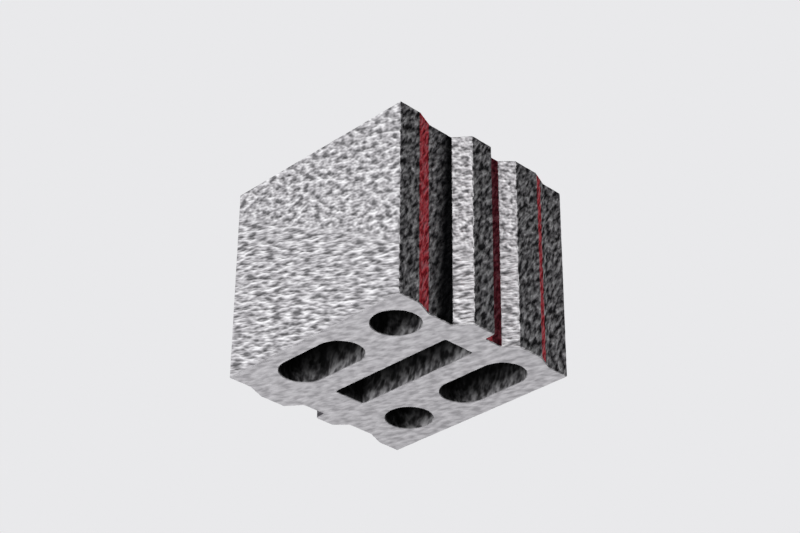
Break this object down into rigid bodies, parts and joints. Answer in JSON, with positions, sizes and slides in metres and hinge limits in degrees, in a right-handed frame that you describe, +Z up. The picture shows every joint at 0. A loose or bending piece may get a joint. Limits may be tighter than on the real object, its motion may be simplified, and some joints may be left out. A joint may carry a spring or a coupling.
{
  "type": "concrete block",
  "caption": "Cast concrete wall block with tongue-and-groove ends and round, long and slot-shaped cores open at the underside.",
  "frame": {"origin": "centre of the underside, midway between the two wall faces and between the lands of the two ends", "axes": "+X along the wall, towards the end whose broad tongue is nearer the back; +Y through the wall from the front face to the back face; +Z up, away from the core mouths"},
  "size_m": [0.2642, 0.24, 0.222],
  "materials": {
    "concrete": "rough cast"
  },
  "bodies": {
    "root": {"concrete_block": "concrete"}
  },
  "joints": []
}
